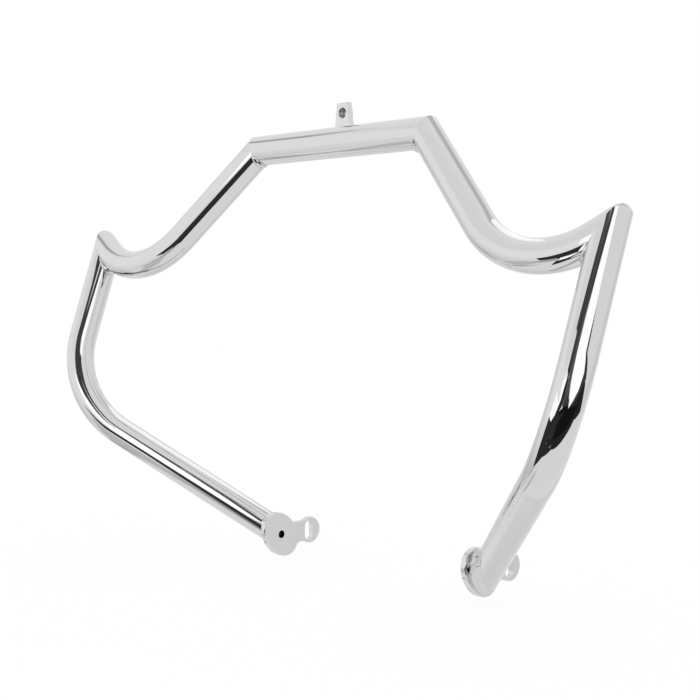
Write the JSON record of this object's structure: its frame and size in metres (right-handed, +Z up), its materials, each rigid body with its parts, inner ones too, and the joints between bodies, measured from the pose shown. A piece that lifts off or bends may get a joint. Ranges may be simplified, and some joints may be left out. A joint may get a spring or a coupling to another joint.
{
  "type": "motorcycle crash bar",
  "caption": "Chromed tube engine guard with a straight top bar, drooping arms with pointed horns, swept-back legs, a top tab and slotted end plates.",
  "frame": {"origin": "middle of the threaded hole in the centre tab, on the plane of symmetry", "axes": "+X to the rider's left, +Y to the rear of the motorcycle along the tab's hole, +Z up as fitted"},
  "size_m": [0.7546, 0.2065, 0.4973],
  "materials": {
    "chromed_tube": "mirror chrome plate on drawn steel tube",
    "chromed_plate": "bright chrome plate on cut steel plate",
    "chromed_weld": "chrome plate over dressed weld"
  },
  "bodies": {
    "root": {"crossbar_tube": "chromed_tube", "left_arm_tube": "chromed_tube", "right_arm_tube": "chromed_tube", "left_leg_tube": "chromed_tube", "right_leg_tube": "chromed_tube", "centre_tab": "chromed_plate", "left_end_plate": "chromed_plate", "right_end_plate": "chromed_plate", "left_bar_weld": "chromed_weld", "right_bar_weld": "chromed_weld", "left_horn_weld": "chromed_weld", "right_horn_weld": "chromed_weld", "left_foot_weld": "chromed_weld", "right_foot_weld": "chromed_weld", "tab_weld": "chromed_weld"}
  },
  "joints": []
}
